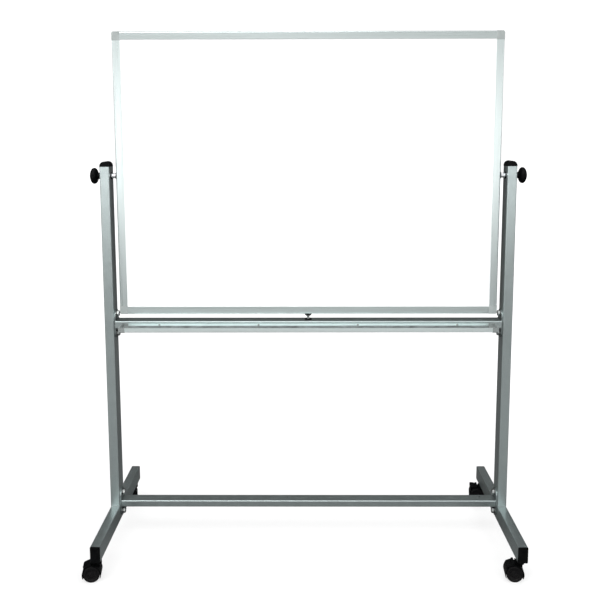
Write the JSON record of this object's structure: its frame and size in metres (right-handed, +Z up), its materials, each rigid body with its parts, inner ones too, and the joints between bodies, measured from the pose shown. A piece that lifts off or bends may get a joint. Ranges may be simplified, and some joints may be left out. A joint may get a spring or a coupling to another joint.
{
  "type": "rolling whiteboard",
  "caption": "Reversible framed whiteboard that turns over between two posts of a steel H-frame stand on twin-wheel casters, with clamp knobs, a board stop and a full-width marker tray.",
  "frame": {"origin": "on the floor, under the middle of the object's bounding box", "axes": "+X to the right as the viewer faces the marker tray, +Y away from the viewer, +Z up"},
  "size_m": [1.388, 0.6, 1.6613],
  "materials": {
    "painted_steel": "satin silver-grey powder coat",
    "black_plastic": "fine-grained moulded plastic",
    "anodised_aluminium": "satin anodised",
    "grey_plastic": "satin moulded plastic",
    "zinc_steel": "bright zinc plate",
    "chrome_steel": "polished chrome",
    "white_enamel": "gloss white enamel",
    "fibre_core": "fibreboard",
    "black_rubber": "moulded rubber",
    "caster_nylon": "moulded nylon",
    "caster_tread": "moulded nylon wheel"
  },
  "bodies": {
    "stand": {"left_post": "painted_steel", "right_post": "painted_steel", "left_post_cap": "black_plastic", "right_post_cap": "black_plastic", "left_foot": "painted_steel", "right_foot": "painted_steel", "foot_end_caps": "black_plastic", "lower_crossbar": "painted_steel", "lower_left_flange": "painted_steel", "lower_right_flange": "painted_steel", "upper_rail": "painted_steel", "upper_left_flange": "painted_steel", "upper_right_flange": "painted_steel", "flange_bolts": "zinc_steel", "flange_washers": "zinc_steel", "weld_nuts": "zinc_steel", "marker_tray": "anodised_aluminium", "left_tray_end_cap": "grey_plastic", "right_tray_end_cap": "grey_plastic", "tray_screws": "zinc_steel", "stop_bush": "black_plastic", "front_left_stem": "zinc_steel", "front_right_stem": "zinc_steel", "rear_left_stem": "zinc_steel", "rear_right_stem": "zinc_steel"},
    "board": {"board_core": "fibre_core", "front_writing_surface": "white_enamel", "back_writing_surface": "white_enamel", "top_frame": "anodised_aluminium", "bottom_frame": "anodised_aluminium", "left_frame": "anodised_aluminium", "right_frame": "anodised_aluminium", "corner_caps": "grey_plastic", "left_pivot_stud": "zinc_steel", "right_pivot_stud": "zinc_steel", "left_pivot_spacer": "chrome_steel", "right_pivot_spacer": "chrome_steel", "pivot_anchors": "zinc_steel", "pivot_washers": "black_plastic"},
    "left_knob": {"left_knob": "black_plastic"},
    "right_knob": {"right_knob": "black_plastic"},
    "stop_pad": {"stop_pad": "black_rubber"},
    "stop_screw": {"stop_screw": "zinc_steel"},
    "front_left_caster": {"front_left_hood": "caster_nylon", "front_left_axle": "zinc_steel"},
    "front_left_wheels": {"front_left_wheels": "caster_tread"},
    "front_left_brake_lever": {"front_left_brake_lever": "caster_nylon"},
    "front_right_caster": {"front_right_hood": "caster_nylon", "front_right_axle": "zinc_steel"},
    "front_right_wheels": {"front_right_wheels": "caster_tread"},
    "front_right_brake_lever": {"front_right_brake_lever": "caster_nylon"},
    "rear_left_caster": {"rear_left_hood": "caster_nylon", "rear_left_axle": "zinc_steel"},
    "rear_left_wheels": {"rear_left_wheels": "caster_tread"},
    "rear_left_brake_lever": {"rear_left_brake_lever": "caster_nylon"},
    "rear_right_caster": {"rear_right_hood": "caster_nylon", "rear_right_axle": "zinc_steel"},
    "rear_right_wheels": {"rear_right_wheels": "caster_tread"},
    "rear_right_brake_lever": {"rear_right_brake_lever": "caster_nylon"}
  },
  "joints": [
    {"name": "board_flip", "type": "hinge", "parent": "stand", "child": "board", "pos_m": [0, 0, 1.2135], "axis": [1, 0, 0], "continuous": true},
    {"name": "left_knob_turn", "type": "hinge", "parent": "board", "child": "left_knob", "pos_m": [-0.68, 0, 1.2135], "axis": [-1, 0, 0], "range_deg": [0, 450]},
    {"name": "right_knob_turn", "type": "hinge", "parent": "board", "child": "right_knob", "pos_m": [0.68, 0, 1.2135], "axis": [1, 0, 0], "range_deg": [0, 450]},
    {"name": "stop_rise", "type": "slide", "parent": "stand", "child": "stop_pad", "axis": [0, 0, 1], "range_m": [-0.0051, 0.0009]},
    {"name": "stop_turn", "type": "hinge", "parent": "stop_pad", "child": "stop_screw", "pos_m": [0, 0, 0.75], "axis": [0, 0, 1], "range_deg": [-1440, 252]},
    {"name": "front_left_swivel", "type": "hinge", "parent": "stand", "child": "front_left_caster", "pos_m": [-0.642, -0.268, 0.05], "axis": [0, 0, 1], "continuous": true},
    {"name": "front_left_roll", "type": "hinge", "parent": "front_left_caster", "child": "front_left_wheels", "pos_m": [-0.65982, -0.2705, 0.025], "axis": [0.1392, -0.9903, 0], "continuous": true},
    {"name": "front_left_brake", "type": "hinge", "parent": "front_left_caster", "child": "front_left_brake_lever", "pos_m": [-0.66379, -0.27106, 0.054], "axis": [0.1392, -0.9903, 0], "range_deg": [-26, 0]},
    {"name": "front_right_swivel", "type": "hinge", "parent": "stand", "child": "front_right_caster", "pos_m": [0.642, -0.268, 0.05], "axis": [0, 0, 1], "continuous": true},
    {"name": "front_right_roll", "type": "hinge", "parent": "front_right_caster", "child": "front_right_wheels", "pos_m": [0.6241, -0.26612, 0.025], "axis": [-0.1045, -0.9945, 0], "continuous": true},
    {"name": "front_right_brake", "type": "hinge", "parent": "front_right_caster", "child": "front_right_brake_lever", "pos_m": [0.62012, -0.2657, 0.054], "axis": [-0.1045, -0.9945, 0], "range_deg": [-26, 0]},
    {"name": "rear_left_swivel", "type": "hinge", "parent": "stand", "child": "rear_left_caster", "pos_m": [-0.642, 0.268, 0.05], "axis": [0, 0, 1], "continuous": true},
    {"name": "rear_left_roll", "type": "hinge", "parent": "rear_left_caster", "child": "rear_left_wheels", "pos_m": [-0.65961, 0.26426, 0.025], "axis": [0.2079, -0.9781, 0], "continuous": true},
    {"name": "rear_left_brake", "type": "hinge", "parent": "rear_left_caster", "child": "rear_left_brake_lever", "pos_m": [-0.66352, 0.26343, 0.054], "axis": [0.2079, -0.9781, 0], "range_deg": [0, 26]},
    {"name": "rear_right_swivel", "type": "hinge", "parent": "stand", "child": "rear_right_caster", "pos_m": [0.642, 0.268, 0.05], "axis": [0, 0, 1], "continuous": true},
    {"name": "rear_right_roll", "type": "hinge", "parent": "rear_right_caster", "child": "rear_right_wheels", "pos_m": [0.62427, 0.27113, 0.025], "axis": [-0.1736, -0.9848, 0], "continuous": true},
    {"name": "rear_right_brake", "type": "hinge", "parent": "rear_right_caster", "child": "rear_right_brake_lever", "pos_m": [0.62033, 0.27182, 0.054], "axis": [-0.1736, -0.9848, 0], "range_deg": [0, 26]}
  ],
  "couplings": [
    {"joint": "stop_rise", "follows": "stop_turn", "m_per_rad": 0.00019894}
  ]
}
